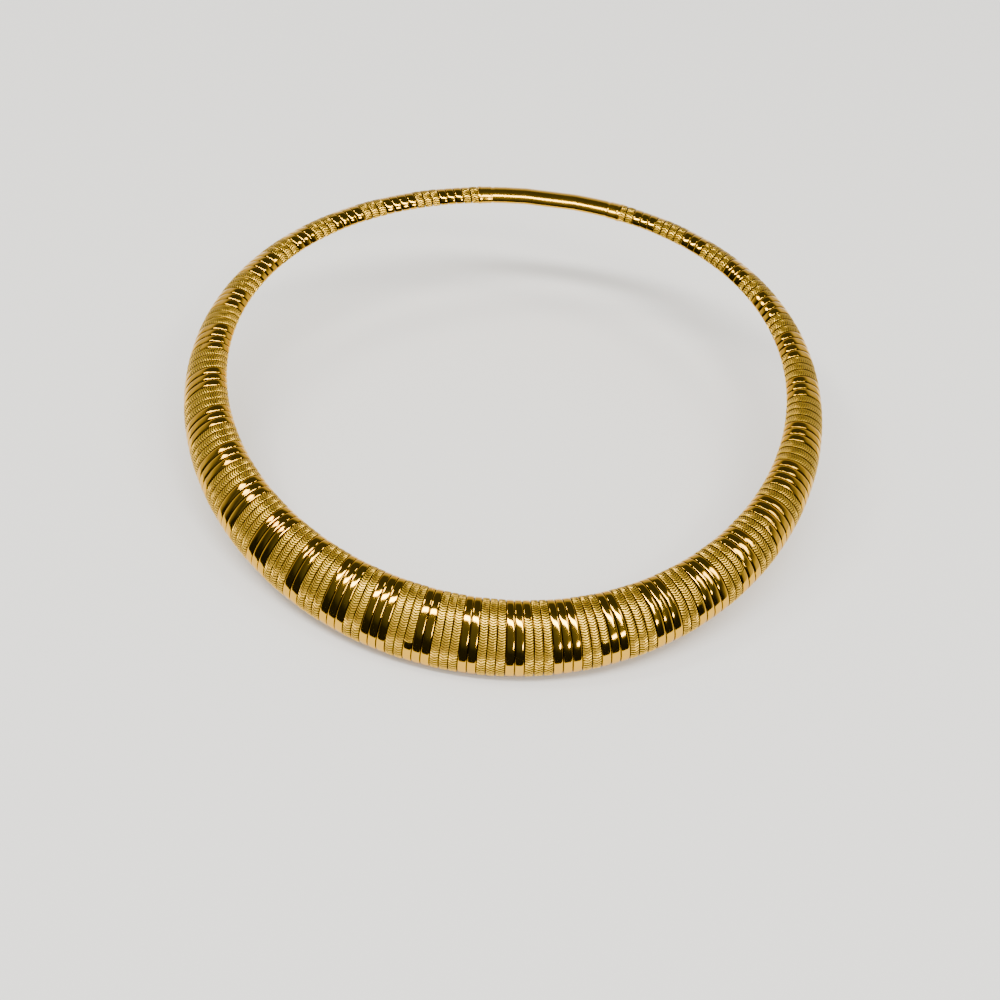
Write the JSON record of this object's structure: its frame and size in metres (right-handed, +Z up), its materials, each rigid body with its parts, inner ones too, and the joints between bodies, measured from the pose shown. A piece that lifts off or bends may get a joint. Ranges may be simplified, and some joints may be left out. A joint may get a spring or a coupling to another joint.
{
  "type": "collar choker necklace",
  "caption": "Close-fitting gold-tone collar necklace: a tapering tube of wound metal strip with a flat back and a domed front, closed behind by a plain clasp.",
  "frame": {"origin": "middle of the neck opening, where the collar sits round the neck", "axes": "+Z up the neck, -Y to the wearer's front, +X to the right of someone facing the wearer"},
  "size_m": [0.143, 0.1335, 0.031],
  "materials": {
    "gold_strip": "gold plated, polished stretches in turn with finely milled ones",
    "gold_clasp": "gold plated, polished"
  },
  "bodies": {
    "root": {"wound_length_01": "gold_strip", "wound_length_02": "gold_strip", "wound_length_03": "gold_strip", "wound_length_04": "gold_strip", "wound_length_05": "gold_strip", "wound_length_06": "gold_strip", "wound_length_07": "gold_strip", "wound_length_08": "gold_strip", "wound_length_09": "gold_strip", "wound_length_10": "gold_strip", "wound_length_11": "gold_strip", "wound_length_12": "gold_strip", "wound_length_13": "gold_strip", "wound_length_14": "gold_strip", "clasp": "gold_clasp"}
  },
  "joints": []
}
